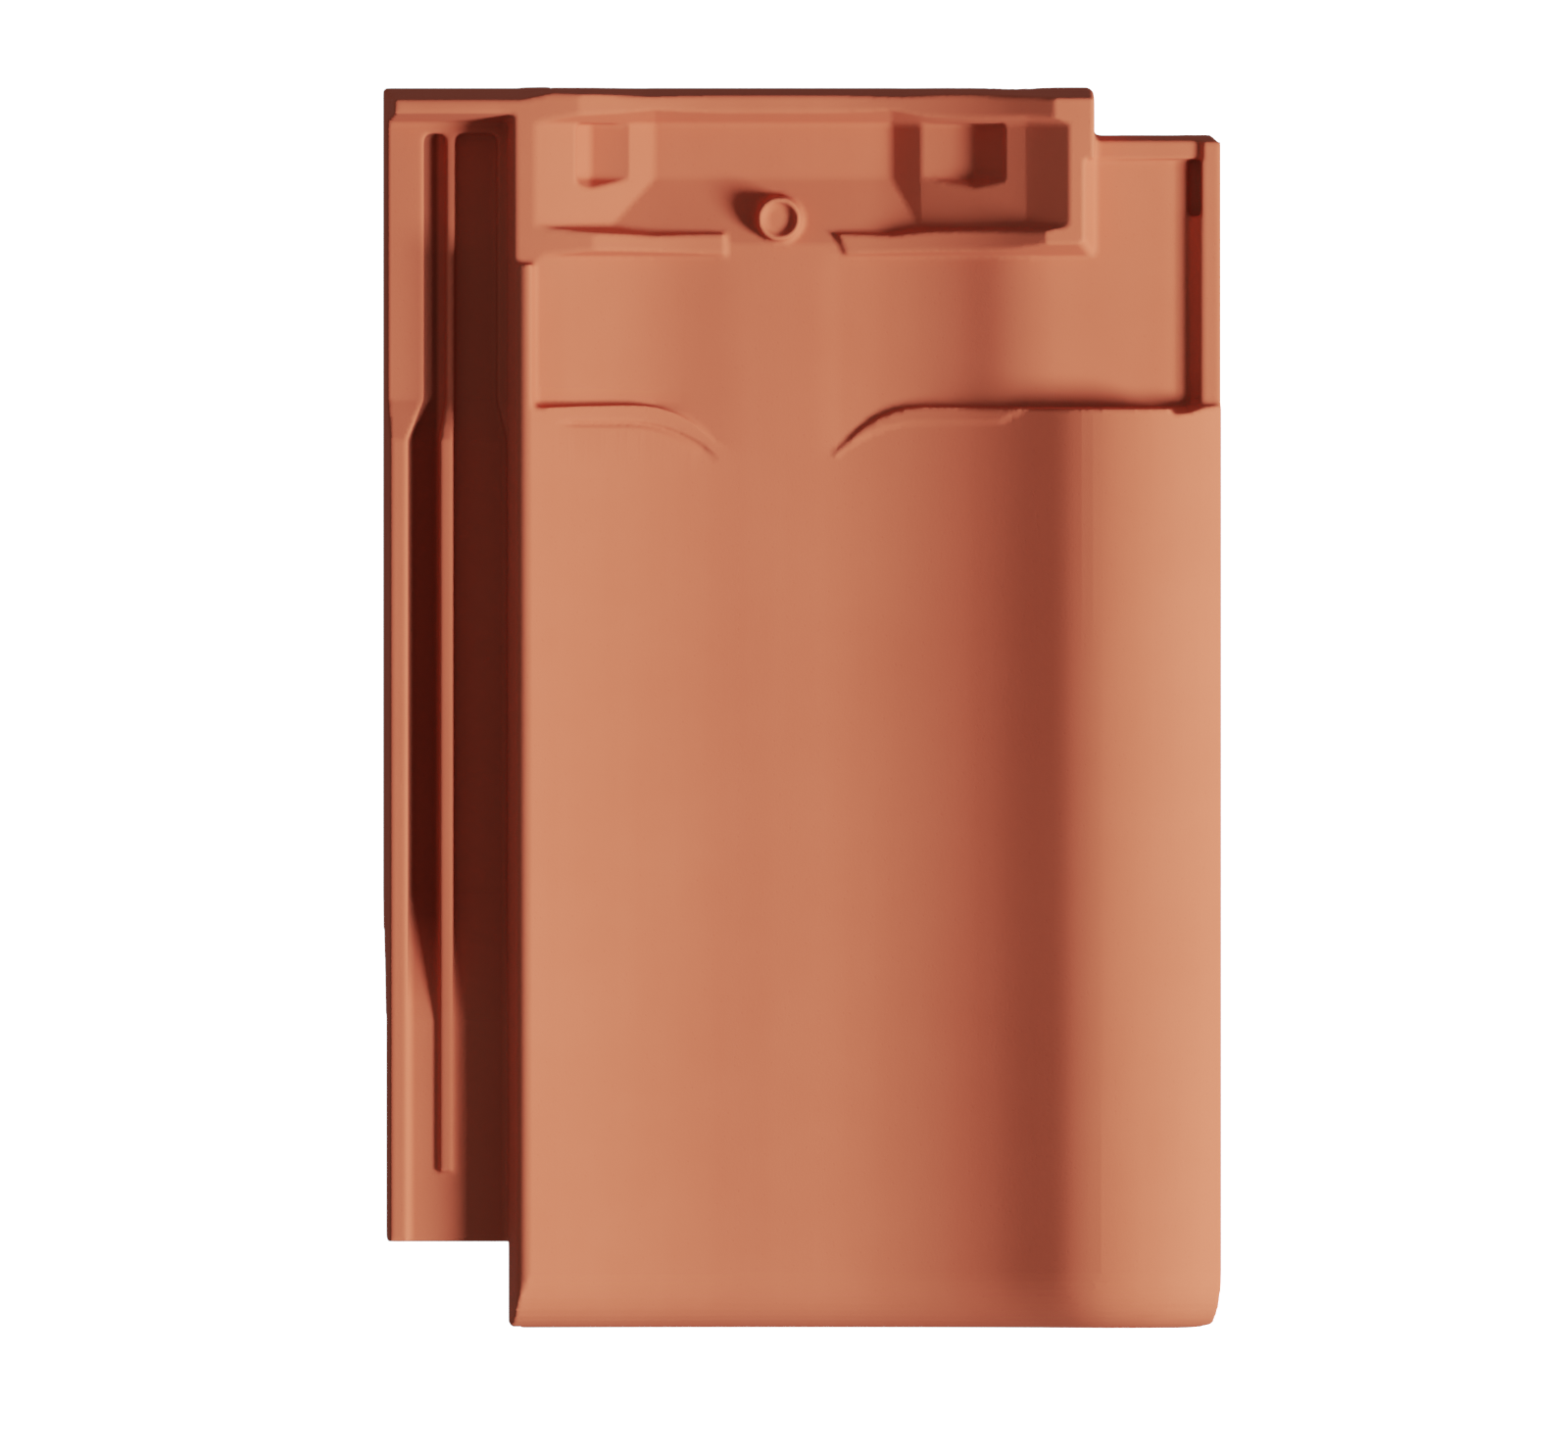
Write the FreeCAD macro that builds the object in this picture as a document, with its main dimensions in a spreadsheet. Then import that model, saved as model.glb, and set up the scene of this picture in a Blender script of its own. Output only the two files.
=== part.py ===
import FreeCAD, Part
import math
import os
import re

import Sketcher
from FreeCAD import Placement, Rotation, Vector

# Interlocking clay roof pantile, fired in one piece.
# Lengths are in millimetres and angles in degrees.
# X runs across the tile from the side lock to the roll, Y from the foot up to the head, Z up.
# Formulas measure x from the outer edge of the lock, y from the foot and z from the floor.

os.makedirs("parts", exist_ok=True)
document = FreeCAD.newDocument("pantile")
sheet = document.addObject("Spreadsheet::Sheet", "Sizes")

SIZES = [
    # whole tile
    ("tile_length", "420"),
    ("clay_thickness", "11"),
    ("foot_drop", "11"),
    # cross section of the pan and the roll
    ("pan_edge", "46.4"),
    ("edge_to_trough", "74"),
    ("trough_width", "27.9"),
    ("left_radius", "165"),
    ("right_radius", "137"),
    ("flank_angle", "30"),
    ("flank_run", "11.4"),
    ("crest_radius", "41"),
    ("fall_radius", "54"),
    ("fall_run", "35.3"),
    # lip that hangs from the outer edge of the roll
    ("lip_lean", "4.5"),
    ("lip_width", "10"),
    ("lip_gap", "3.5"),
    # foot
    ("nose_radius", "20"),
    ("foot_lip_length", "14"),
    # side lock
    ("lock_start", "29.2"),
    ("lock_slab", "7.5"),
    ("channel_depth", "9.5"),
    ("wall_draft", "11.7"),
    ("wall_thickness", "11"),
    ("edge_radius", "4"),
    ("lock_side_draft", "9"),
    ("rim_width", "8.7"),
    ("first_channel_width", "10.9"),
    ("lock_rib_width", "4.3"),
    ("second_channel_width", "18.7"),
    ("channel_draft", "3"),
    ("lock_rib_start", "53"),
    ("low_channel_depth", "2.3"),
    ("ramp_start", "104.5"),
    ("ramp_length", "43"),
    ("head_lock_drop", "6.5"),
    ("head_channel_drop", "2"),
    ("head_rim_growth", "5"),
    ("head_rib_shift", "2.4"),
    ("head_rib_loss", "2.2"),
    ("head_ledge", "3.3"),
    ("lock_step", "119.5"),
    ("lock_step_length", "13.5"),
    ("channel_end", "15.3"),
    ("channel_corner", "3"),
    # headlap, measured back from the head
    ("headlap_step", "108"),
    ("left_step_shift", "1.5"),
    ("step_draft", "12"),
    ("right_step_draft", "2"),
    ("swoosh_gap", "19"),
    ("swoosh_drop", "15.9"),
    ("swoosh_radius", "35.5"),
    ("swoosh_angle", "44"),
    ("swoosh_reach", "49.8"),
    ("bead_width", "5.4"),
    ("bead_rise", "0.8"),
    ("bead_radius", "45"),
    ("bead_tip", "1"),
    ("bead_start", "6"),
    ("bead_end", "84"),
    ("bead_taper", "10"),
    # sunk surface of the headlap, left of the trough
    ("lap_left_angle", "16.5"),
    ("lap_left_radius", "104"),
    ("lap_left_sink", "0.9"),
    ("lap_left_low", "33"),
    ("lap_left_rise", "2.8"),
    ("edge_strip", "8.2"),
    ("edge_strip_end", "2.6"),
    # sunk surface of the headlap, right of the trough
    ("lap_right_sink", "0.5"),
    ("lap_right_start", "28.2"),
    ("lap_right_radius", "102"),
    ("lap_right_angle", "24"),
    ("lap_crest_radius", "53"),
    ("plateau_fall", "3.5"),
    # head rims
    ("rib_low", "57.4"),
    ("rib_high", "47.4"),
    ("rib_draft", "14"),
    ("rib_start", "11"),
    ("rib_rise", "1.5"),
    ("rib_gap", "18.2"),
    ("rib_end_slant", "4.6"),
    ("rim_draft", "18"),
    ("head_draft", "10"),
    ("head_rim", "12.4"),
    ("head_rim_top", "9.1"),
    ("head_rim_draft", "22"),
    ("rim_flat", "9"),
    ("rim_notch_x", "40.1"),
    ("rim_notch_width", "1.4"),
    ("rim_notch_depth", "1.1"),
    ("arm_flat", "24.5"),
    ("arm_edge", "43.1"),
    ("arm_width", "5"),
    ("arm_draft", "3.3"),
    ("arm_corner", "2.7"),
    ("roll_head", "16.3"),
    ("roll_rim", "8.3"),
    ("roll_rim_rise", "1.3"),
    ("edge_rim", "6.7"),
    ("edge_rim_slope", "4.6"),
    ("edge_rim_level", "16"),
    ("edge_rim_start", "0.5"),
    # recess between the head rims
    ("recess_sink", "9"),
    ("plate_left", "42.1"),
    ("plate_right", "38.1"),
    ("plate_low", "31"),
    ("plate_ramp_angle", "22"),
    ("plate_clay", "7.8"),
    ("plate_back_margin", "2"),
    ("plate_back_slope", "18"),
    ("recess_left_angle", "24"),
    ("recess_step_run", "10"),
    ("recess_step_angle", "36"),
    ("recess_flank_angle", "24"),
    ("recess_wall_run", "14.6"),
    # nibs under the head and the pockets above them
    ("nib_face", "34"),
    ("nib_length", "17"),
    ("nib_back", "6"),
    ("left_nib_offset", "68.7"),
    ("left_nib_width", "18.2"),
    ("right_nib_offset", "50.4"),
    ("right_nib_width", "25.9"),
    ("pocket_setback", "3"),
    ("pocket_draft", "28"),
    ("left_pocket_low", "3"),
    ("left_pocket_high", "3.6"),
    ("left_pocket_side", "4.6"),
    ("left_pocket_end", "0.6"),
    ("left_pocket_wall", "5"),
    ("right_pocket_floor", "18.6"),
    ("right_pocket_tilt", "1.6"),
    ("right_pocket_run", "10.5"),
    ("right_pocket_rise", "9.1"),
    ("slot_depth", "2.5"),
    ("slot_length", "19.3"),
    # nail boss
    ("boss_from_head", "44.8"),
    ("boss_radius", "7.3"),
    ("boss_skirt", "1.6"),
    ("boss_rise", "3.5"),
    ("ring_radius", "5.9"),
    ("ring_draft", "1"),
    ("ring_depth", "3"),
    # upright corners, seen from above
    ("foot_left_corner", "2.5"),
    ("foot_right_corner", "3.3"),
    ("lock_corner", "2"),
    ("head_corner", "3.2"),
    ("roll_corner", "3.6"),
]
for row, (alias, number) in enumerate(SIZES, start=1):
    sheet.set("A%d" % row, alias.replace("_", " "))
    sheet.set("B%d" % row, number)
    sheet.setAlias("B%d" % row, alias)
document.recompute()
ALIASES = {alias for alias, number in SIZES}

# Places that follow from the sizes.
PAN = "(clay_thickness + foot_drop)"
TROUGH_START = "(pan_edge + edge_to_trough)"
TROUGH_END = "(pan_edge + edge_to_trough + trough_width)"
MIDDLE = "(pan_edge + edge_to_trough + trough_width / 2)"
CREST_X = f"({TROUGH_END} + (right_radius + crest_radius) * sin(flank_angle) + flank_run)"
CREST_RISE = "((right_radius + crest_radius) * (1 - cos(flank_angle)) + flank_run * tan(flank_angle))"
CREST_Z = f"({PAN} + {CREST_RISE})"
WIDTH = f"({CREST_X} + fall_run)"
ARM_X = f"({WIDTH} - arm_edge)"
LOCK_FLOOR = f"({PAN} - channel_depth)"
LOCK_BOTTOM = f"({PAN} - channel_depth - lock_slab)"
LIP_LEVEL = f"({PAN} - channel_depth + lip_gap)"
LIP_OUTER = f"({WIDTH} - lip_lean)"
LIP_INNER = f"({WIDTH} - lip_lean - lip_width)"
WALL_INNER = "(pan_edge + wall_thickness)"
EDGE_Z = f"({PAN} + left_radius - sqrt(left_radius^2 - edge_to_trough^2))"
EDGE_SLOPE = "(asin(edge_to_trough / left_radius) / 1 deg)"
STEP_Y = "(tile_length - headlap_step)"
RIB_LOW_Y = "(tile_length - rib_low)"
RIB_HIGH_Y = "(tile_length - rib_high)"
HEAD_RIM_Y = "(tile_length - head_rim)"
ROLL_HEAD_Y = "(tile_length - roll_head)"
CLEAR_TOP = f"({CREST_Z} + 30)"
PLATE_Z = f"({PAN} - recess_sink)"
PLATE_LOW_Y = "(tile_length - plate_low)"
PLATE_LEFT_X = f"({MIDDLE} - plate_left)"
PLATE_RIGHT_X = f"({MIDDLE} + plate_right)"
WALL_FOOT_X = f"(pan_edge - ({EDGE_Z} - {PAN} + 1) * tan(wall_draft))"


def bound(formula):
    """The formula with every size written as a cell of the sheet."""
    return re.sub(r"[a-z_]+", lambda m: "Sizes." + m[0] if m[0] in ALIASES else m[0], formula)


def value(formula):
    """The formula worked out with the present sizes."""
    result = sheet.evalExpression(bound(formula))
    return float(getattr(result, "Value", result))


PLANES = {
    "section": (Rotation(Vector(1, 0, 0), 90), Vector(0, 1, 0)),
    "side": (Rotation(Vector(1, 1, 1), 120), Vector(1, 0, 0)),
    "plan": (Rotation(), Vector(0, 0, 1)),
}


def outline(name, plane, path, start):
    """A closed sketch. Each corner is (x, y) after a line or (x, y, radius, turn) after an arc."""
    sketch = document.addObject("Sketcher::SketchObject", name)
    sketch.Placement = Placement(Vector(), PLANES[plane][0])
    along = {"section": "y", "side": "x", "plan": "z"}[plane]
    offsets = {"x": "-(%s) / 2" % WIDTH, "y": "-tile_length / 2", "z": "0"}
    offsets[along] += " + " + start
    for axis, formula in offsets.items():
        sketch.setExpression("Placement.Base." + axis, bound(formula))
    corners = [Vector(value(step[0]), value(step[1]), 0) for step in path]
    ends = []
    count = len(path)
    for index in range(count):
        here = corners[index]
        following = path[(index + 1) % count]
        there = corners[(index + 1) % count]
        if len(following) == 2:
            sketch.addGeometry(Part.LineSegment(here, there), False)
            ends.append((1, 2))
            continue
        radius = value(following[2])
        turn = following[3]
        chord = there - here
        lift = math.sqrt(radius ** 2 - (chord.Length / 2) ** 2)
        side = Vector(-chord.y, chord.x, 0).normalize()
        centre = (here + there) * 0.5 + side * (turn * lift)
        first, last = (here, there) if turn > 0 else (there, here)
        angles = [math.atan2(point.y - centre.y, point.x - centre.x) for point in (first, last)]
        circle = Part.Circle(centre, Vector(0, 0, 1), radius)
        sketch.addGeometry(Part.ArcOfCircle(circle, angles[0], angles[1]), False)
        ends.append((1, 2) if turn > 0 else (2, 1))
    names = {}
    for index in range(count):
        after = (index + 1) % count
        sketch.addConstraint(Sketcher.Constraint("Coincident", index, ends[index][1], after, ends[after][0]))
        for axis, kind in ((0, "DistanceX"), (1, "DistanceY")):
            place = corners[index][axis]
            added = sketch.addConstraint(Sketcher.Constraint(kind, -1, 1, index, ends[index][0], place))
            sketch.renameConstraint(added, "%s%d" % ("uv"[axis], index))
            names["%s%d" % ("uv"[axis], index)] = path[index][axis]
        if len(path[after]) == 4:
            added = sketch.addConstraint(Sketcher.Constraint("Radius", index, value(path[after][2])))
            sketch.renameConstraint(added, "radius%d" % index)
            names["radius%d" % index] = path[after][2]
    for constraint, formula in names.items():
        sketch.setExpression("Constraints." + constraint, bound(formula))
    return sketch


def push(name, sketch, direction, length):
    """A sketch pushed along a direction."""
    solid = document.addObject("Part::Extrusion", name)
    solid.Base = sketch
    solid.DirMode = "Custom"
    solid.Dir = direction
    solid.Solid = True
    solid.setExpression("LengthFwd", bound(length))
    return solid


def run(name, plane, path, start, length):
    """An outline pushed straight along its plane's normal axis."""
    return push(name, outline(name + "_outline", plane, path, start), PLANES[plane][1], length)


def slanted_end(name, path, start, way, draft):
    """A section pushed up and away along a drafted wall; way is 1 towards the head, -1 towards the foot."""
    end = push(name, outline(name + "_outline", "section", path, start), Vector(0, way, 1), "60")
    end.setExpression("Dir.y", bound(f"{way} * tan({draft})"))
    return end


def block(name, x, y, z, length_x, length_y, length_z):
    """A square block with its lowest corner at x, y, z."""
    box = document.addObject("Part::Box", name)
    box.setExpression("Length", bound(length_x))
    box.setExpression("Width", bound(length_y))
    box.setExpression("Height", bound(length_z))
    box.setExpression("Placement.Base.x", bound("-(%s) / 2 + %s" % (WIDTH, x)))
    box.setExpression("Placement.Base.y", bound("-tile_length / 2 + " + y))
    box.setExpression("Placement.Base.z", bound(z))
    return box


def fuse(name, shapes):
    joined = document.addObject("Part::MultiFuse", name)
    joined.Shapes = shapes
    joined.Refine = True
    return joined


def common(name, first, second):
    shared = document.addObject("Part::Common", name)
    shared.Base = first
    shared.Tool = second
    return shared


def cut(name, base, tools):
    carved = document.addObject("Part::Cut", name)
    carved.Base = base
    carved.Tool = tools[0] if len(tools) == 1 else fuse(name + "_tools", tools)
    carved.Refine = True
    return carved


def wave(depth, left, right):
    """The pan and roll surface at a depth below the top, from x = left to x = right."""
    low = f"({PAN} + left_radius - sqrt((left_radius + {depth})^2 - ({TROUGH_START} - {left})^2))"
    high = f"({CREST_Z} - fall_radius + sqrt((fall_radius - {depth})^2 - ({right} - {CREST_X})^2))"
    right_arc = f"(right_radius + {depth})"
    crest_arc = f"(crest_radius - {depth})"
    return [
        (left, low),
        (TROUGH_START, f"{PAN} - {depth}", f"left_radius + {depth}", 1),
        (TROUGH_END, f"{PAN} - {depth}"),
        (f"{TROUGH_END} + {right_arc} * sin(flank_angle)",
         f"{PAN} + right_radius - {right_arc} * cos(flank_angle)", right_arc, 1),
        (f"{CREST_X} - {crest_arc} * sin(flank_angle)",
         f"{CREST_Z} - crest_radius + {crest_arc} * cos(flank_angle)"),
        (CREST_X, f"{CREST_Z} - {depth}", crest_arc, -1),
        (right, high, f"fall_radius - {depth}", -1),
    ]


def back(path):
    """The same path walked from its far end."""
    steps = []
    for index in range(len(path) - 1, -1, -1):
        if index == len(path) - 1 or len(path[index + 1]) == 2:
            steps.append(path[index][:2])
        else:
            steps.append(path[index][:2] + (path[index + 1][2], -path[index + 1][3]))
    return steps


def lap_right(depth):
    """The sunk headlap surface right of the trough, from its start to the outer edge of the tile."""
    low = f"({PAN} - lap_right_sink)"
    arc = f"(lap_right_radius + {depth})"
    crest = f"(lap_crest_radius - {depth})"
    start = f"({MIDDLE} + lap_right_start)"
    middle_x = f"({start} + (lap_right_radius + lap_crest_radius) * sin(lap_right_angle))"
    middle_z = f"({low} + (lap_right_radius + lap_crest_radius) * (1 - cos(lap_right_angle)))"
    fall_x = f"({middle_x} + {crest} * sin(plateau_fall))"
    fall_z = f"({middle_z} - lap_crest_radius + {crest} * cos(plateau_fall))"
    rise_x = f"({start} + {arc} * sin(lap_right_angle))"
    rise_z = f"({low} + lap_right_radius - {arc} * cos(lap_right_angle))"
    return [
        (start, f"{low} - {depth}"),
        (rise_x, rise_z, arc, 1),
        (fall_x, fall_z, crest, -1),
        (f"({WIDTH} + 5)", f"{fall_z} - ({WIDTH} + 5 - {fall_x}) * tan(plateau_fall)"),
    ]


def lap_left(depth):
    """The sunk headlap surface left of the trough, from the pan edge to its lowest line."""
    low_x = f"({MIDDLE} - lap_left_low)"
    low_z = f"({PAN} - lap_left_sink)"
    arc = f"(lap_left_radius + {depth})"
    join_x = f"({low_x} - {arc} * sin(lap_left_angle))"
    join_z = f"({low_z} + lap_left_radius - {arc} * cos(lap_left_angle))"
    edge_x = "(pan_edge - 15)" if depth == "0" else WALL_INNER
    return [
        (edge_x, f"{join_z} + ({join_x} - {edge_x}) * tan(lap_left_angle)"),
        (join_x, join_z),
        (low_x, f"{low_z} - {depth}", arc, 1),
    ]


# Pan and roll: one section along the whole tile, then a thicker one at the foot.
top = wave("0", "pan_edge", WIDTH)
pan_section = top + [
    (LIP_OUTER, LIP_LEVEL),
    (LIP_INNER, LIP_LEVEL),
] + back(wave("clay_thickness", WALL_INNER, LIP_INNER)) + [
    (WALL_INNER, f"{PAN} - 1"),
    (WALL_FOOT_X, f"{PAN} - 1"),
]
pan = run("pan", "section", pan_section, "0", "tile_length")

foot_depth = "(clay_thickness + foot_drop)"
foot_section = wave("5", "pan_edge", LIP_INNER) + back(wave(foot_depth, "pan_edge", LIP_INNER))
foot = run("foot", "section", foot_section, "0", "foot_lip_length")

shell = fuse("shell", [pan, foot])
document.recompute()

# The nose rounds the upper front edge over, from the lock side across the trough and the roll.
front = -value("tile_length") / 2
top_points = [Vector(value(step[0]) - value(WIDTH) / 2, front, value(step[1])) for step in top]


def on_nose(edge):
    """Whether both ends of an edge are corners of the top curve at the foot."""
    return all(any(vertex.Point.isEqual(point, 0.01) for point in top_points) for vertex in edge.Vertexes)


nose = document.addObject("Part::Fillet", "nose")
nose.Base = shell
nose.Edges = [(number, value("nose_radius"), value("nose_radius"))
              for number, edge in enumerate(shell.Shape.Edges, start=1) if on_nose(edge)]
if len(nose.Edges) != len(top) - 1:
    raise RuntimeError("the nose found %d edges" % len(nose.Edges))

# The clay under the headlap follows the sunk surface.
under = lap_left("clay_thickness") + lap_right("clay_thickness")[:-1] + [
    (f"{LIP_INNER} + 2", f"{PAN} + 0.5"),
]
head_section = under + back(wave("5", WALL_INNER, f"{LIP_INNER} + 2"))
head_under = run("head_under", "section", head_section, f"{STEP_Y} - clay_thickness",
                 "headlap_step + clay_thickness")

# Low beads along the lower edge of the headlap, running out at the tips of its curved corners.
bead_drop = "(swoosh_drop + bead_tip - bead_width)"
bead_turn = f"(swoosh_gap + sqrt(2 * bead_radius * {bead_drop} - {bead_drop}^2))"
bead_low = f"({STEP_Y} - bead_width)"
tip_y = f"({STEP_Y} - swoosh_drop - bead_tip)"
left_bead_plan = [
    ("pan_edge + bead_start", STEP_Y),
    ("pan_edge + bead_start + bead_taper", bead_low),
    (f"{MIDDLE} - {bead_turn}", bead_low),
    (f"{MIDDLE} - swoosh_gap", tip_y, "bead_radius", -1),
    (f"{MIDDLE} - swoosh_gap", STEP_Y),
]
right_bead_plan = [
    (f"{MIDDLE} + swoosh_gap", tip_y),
    (f"{MIDDLE} + {bead_turn}", bead_low, "bead_radius", -1),
    (f"{MIDDLE} + bead_end - bead_taper", bead_low),
    (f"{MIDDLE} + bead_end", STEP_Y),
    (f"{MIDDLE} + swoosh_gap", STEP_Y),
]
bead_section = wave("(-bead_rise)", "pan_edge", LIP_INNER) + back(wave("3", "pan_edge", LIP_INNER))


def bead(name, plan):
    """A strip of the top surface raised inside a plan outline."""
    raised = run(name + "_raised", "section", bead_section, f"{tip_y} - 5", "swoosh_drop + 10")
    return common(name, raised, run(name + "_field", "plan", plan, "0", CLEAR_TOP))


beads = [bead("left_bead", left_bead_plan), bead("right_bead", right_bead_plan)]

# The lower rib of the head stands a little above the wave.
rib_section = wave("(-rib_rise)", "pan_edge", LIP_INNER) + back(wave("3", "pan_edge", LIP_INNER))
rib = common("rib",
             run("rib_raised", "section", rib_section, f"{RIB_LOW_Y} - 1", "rib_low - rib_high + 2"),
             block("rib_field", "pan_edge + rib_start", f"{RIB_LOW_Y} - 2", "0",
                   f"{ARM_X} - pan_edge - rib_start", "rib_low - rib_high + 4", CLEAR_TOP))

# The clay is thickened underneath where the plate between the head rims is sunk.
plate_back_z = f"({PLATE_Z} - plate_clay)"
plate_back_section = [
    (f"{PLATE_LEFT_X} - plate_back_margin - plate_back_slope", f"{PLATE_Z} + 1"),
    (f"{PLATE_LEFT_X} - plate_back_margin", plate_back_z),
    (f"{PLATE_RIGHT_X} + plate_back_margin", plate_back_z),
    (f"{PLATE_RIGHT_X} + plate_back_margin + plate_back_slope", f"{PLATE_Z} + 1"),
]
plate_back_side = [
    (RIB_HIGH_Y, f"{PAN} - clay_thickness + 1"),
    (PLATE_LOW_Y, plate_back_z),
    ("tile_length", plate_back_z),
    ("tile_length", PAN),
    (RIB_HIGH_Y, PAN),
]
plate_back = common("plate_back",
                    run("plate_back_across", "section", plate_back_section, RIB_HIGH_Y, "rib_high"),
                    run("plate_back_along", "side", plate_back_side, "0", WIDTH))

# Side lock: a slab with its underside raised at the lower end.
lock_side = [
    ("lock_start", f"{PAN} - low_channel_depth - lock_slab"),
    ("ramp_start", f"{PAN} - low_channel_depth - lock_slab"),
    ("ramp_start + ramp_length", LOCK_BOTTOM),
    ("tile_length", LOCK_BOTTOM),
    ("tile_length", f"{PAN} - head_lock_drop"),
    ("tile_length - lock_step + lock_step_length", f"{PAN} - head_lock_drop"),
    ("tile_length - lock_step", PAN),
    ("lock_start", PAN),
]
lock = run("lock", "side", lock_side, "0", WALL_INNER)

# Nibs that hang on the batten.
nib_side = [
    ("tile_length - nib_face", "0"),
    ("tile_length - nib_face + nib_length", "0"),
    ("tile_length - nib_face + nib_length + nib_back", PAN),
    ("tile_length - nib_face", PAN),
]
left_nib = run("left_nib", "side", nib_side, f"{MIDDLE} - left_nib_offset", "left_nib_width")
right_nib = run("right_nib", "side", nib_side, f"{MIDDLE} + right_nib_offset", "right_nib_width")

# Head rim carried on across the lock.
rim_side = [
    (HEAD_RIM_Y, f"{PAN} - head_lock_drop - 2"),
    ("tile_length", f"{PAN} - head_lock_drop - 2"),
    ("tile_length", f"{PAN} + rim_flat"),
    ("tile_length - head_rim_top", f"{PAN} + rim_flat"),
]
rim_over_lock = run("rim_over_lock", "side", rim_side, "0", "pan_edge + 8")

blank = fuse("blank", [nose, head_under, plate_back, lock, left_nib, right_nib, rim_over_lock, rib] + beads)

# Corner cut away beside the roll at the head, and the levels the head rims stop at.
corner = block("corner", ARM_X, ROLL_HEAD_Y, "-5", "arm_edge + 5", "roll_head + 5", f"{CREST_Z} + 20")
left_level = block("left_level", "-5", f"{RIB_LOW_Y} - edge_strip_end", f"{PAN} + rim_flat", TROUGH_START,
                   "rib_low + 20", "50")
rim_notch = block("rim_notch", "rim_notch_x - rim_notch_width / 2", HEAD_RIM_Y,
                  f"{PAN} + rim_flat - rim_notch_depth", "rim_notch_width", "head_rim + 5", "20")
arm_level = block("arm_level", f"{ARM_X} - 40", f"{RIB_LOW_Y} - 8", f"{PAN} + arm_flat", "arm_edge + 60",
                  "rib_low + 20", "50")

# Rounded upper edge of the pan beside the lock, and the drafted outer face of the lock.
edge_tangent = f"(edge_radius / tan((90 - {EDGE_SLOPE} + wall_draft) / 2))"
edge_in = f"({edge_tangent} * cos({EDGE_SLOPE}))"
edge_in_z = f"({PAN} + left_radius - sqrt(left_radius^2 - (edge_to_trough - {edge_in})^2))"
edge_round_section = [
    (f"pan_edge - {edge_tangent} * sin(wall_draft)", f"{EDGE_Z} - {edge_tangent} * cos(wall_draft)"),
    (f"pan_edge + {edge_in}", edge_in_z, "edge_radius", -1),
    (f"pan_edge + {edge_in}", f"{EDGE_Z} + 5"),
    ("pan_edge - 8", f"{EDGE_Z} + 5"),
    ("pan_edge - 8", f"{EDGE_Z} - {edge_tangent} * cos(wall_draft)"),
]
edge_round = run("edge_round", "section", edge_round_section, "-5", "tile_length + 10")
lock_face_section = [
    ("0", LOCK_BOTTOM),
    ("70 * tan(lock_side_draft)", f"{LOCK_BOTTOM} + 70"),
    ("-5", f"{LOCK_BOTTOM} + 70"),
    ("-5", LOCK_BOTTOM),
]
lock_face = run("lock_face", "section", lock_face_section, "-5", "tile_length + 10")

# Drafted head faces, each leaning back from the lower edge of the clay.
plateau_under = lap_right("clay_thickness")[2][:2]
head_face_section = [
    ("-5", LOCK_BOTTOM),
    ("pan_edge", LOCK_BOTTOM),
    (WALL_INNER, under[0][1]),
] + plate_back_section + [
    plateau_under,
    (ARM_X, plateau_under[1]),
    (ARM_X, CLEAR_TOP),
    ("-5", CLEAR_TOP),
]
roll_face_section = [
    (ARM_X, plateau_under[1]),
    (f"{WIDTH} + 5", plateau_under[1]),
    (f"{WIDTH} + 5", CLEAR_TOP),
    (ARM_X, CLEAR_TOP),
]
head_faces = [
    slanted_end("head_face", head_face_section, "tile_length", -1, "head_draft"),
    slanted_end("roll_face", roll_face_section, ROLL_HEAD_Y, -1, "head_draft"),
]

# Headlap left and right of the trough.
left_lap_section = lap_left("0") + [
    (f"{MIDDLE} - lap_left_low + lap_left_radius * sin(lap_left_rise)",
     f"{PAN} - lap_left_sink + lap_left_radius * (1 - cos(lap_left_rise))", "lap_left_radius", 1),
    (f"{MIDDLE} - 6", f"{PAN} - lap_left_sink + (lap_left_low - 6) * tan(lap_left_rise)"),
    (f"{MIDDLE} - 6", CLEAR_TOP),
    ("pan_edge - 15", CLEAR_TOP),
]
right_lap_section = [(f"{MIDDLE} + 10", f"{PAN} + 0.4")] + [(f"{MIDDLE} + lap_right_start - 8",
                                                            f"{PAN} - lap_right_sink")] + lap_right("0") + [
    (f"{WIDTH} + 5", CLEAR_TOP),
    (f"{MIDDLE} + 10", CLEAR_TOP),
]
turn_x = "(swoosh_reach - swoosh_radius * sin(swoosh_angle))"
turn_y = f"({STEP_Y} - swoosh_radius * (1 - cos(swoosh_angle)))"
left_step_y = f"({STEP_Y} + left_step_shift)"
left_lap_plan = [
    ("pan_edge + edge_strip", left_step_y),
    (f"{MIDDLE} - swoosh_reach", left_step_y),
    (f"{MIDDLE} - {turn_x}", f"{turn_y} + left_step_shift", "swoosh_radius", -1),
    (f"{MIDDLE} - swoosh_gap", f"{left_step_y} - swoosh_drop"),
    (f"{MIDDLE} - 4", f"{left_step_y} - swoosh_drop"),
    (f"{MIDDLE} - 4", f"{RIB_HIGH_Y} + 20"),
    ("pan_edge + edge_strip", f"{RIB_HIGH_Y} + 20"),
]
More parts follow.
